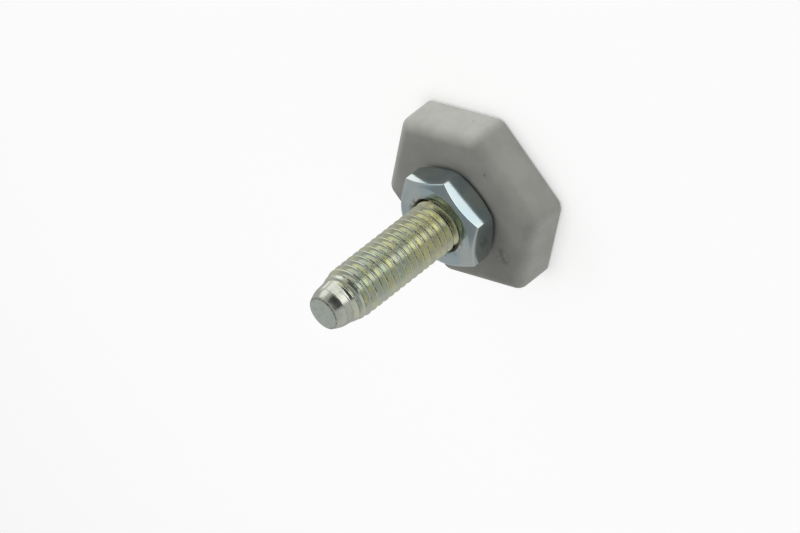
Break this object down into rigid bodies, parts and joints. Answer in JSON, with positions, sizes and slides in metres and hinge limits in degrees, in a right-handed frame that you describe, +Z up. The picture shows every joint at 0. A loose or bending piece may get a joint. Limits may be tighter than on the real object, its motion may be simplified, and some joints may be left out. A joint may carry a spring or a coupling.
{
  "type": "appliance support foot",
  "caption": "Levelling foot for an appliance: moulded hexagonal foot with an upright threaded stud and a thin lock nut run down on it.",
  "frame": {"origin": "middle of the sole, on the surface that the foot stands on", "axes": "+Z up the stud, +X through one corner of the hexagonal foot"},
  "size_m": [0.0362, 0.032, 0.043],
  "materials": {
    "foot_plastic": "warm mid-grey moulded plastic, slightly grained and dusty",
    "stud_zinc": "rolled steel thread, pale yellow passivated zinc",
    "nut_zinc": "bright zinc plate, faintly blue"
  },
  "bodies": {
    "foot_body": {"foot": "foot_plastic", "stud": "stud_zinc"},
    "nut_body": {"lock_nut": "nut_zinc"}
  },
  "joints": [
    {"name": "nut_travel", "type": "slide", "parent": "foot_body", "child": "nut_body", "axis": [0, 0, 1], "range_m": [0, 0.0222]}
  ]
}
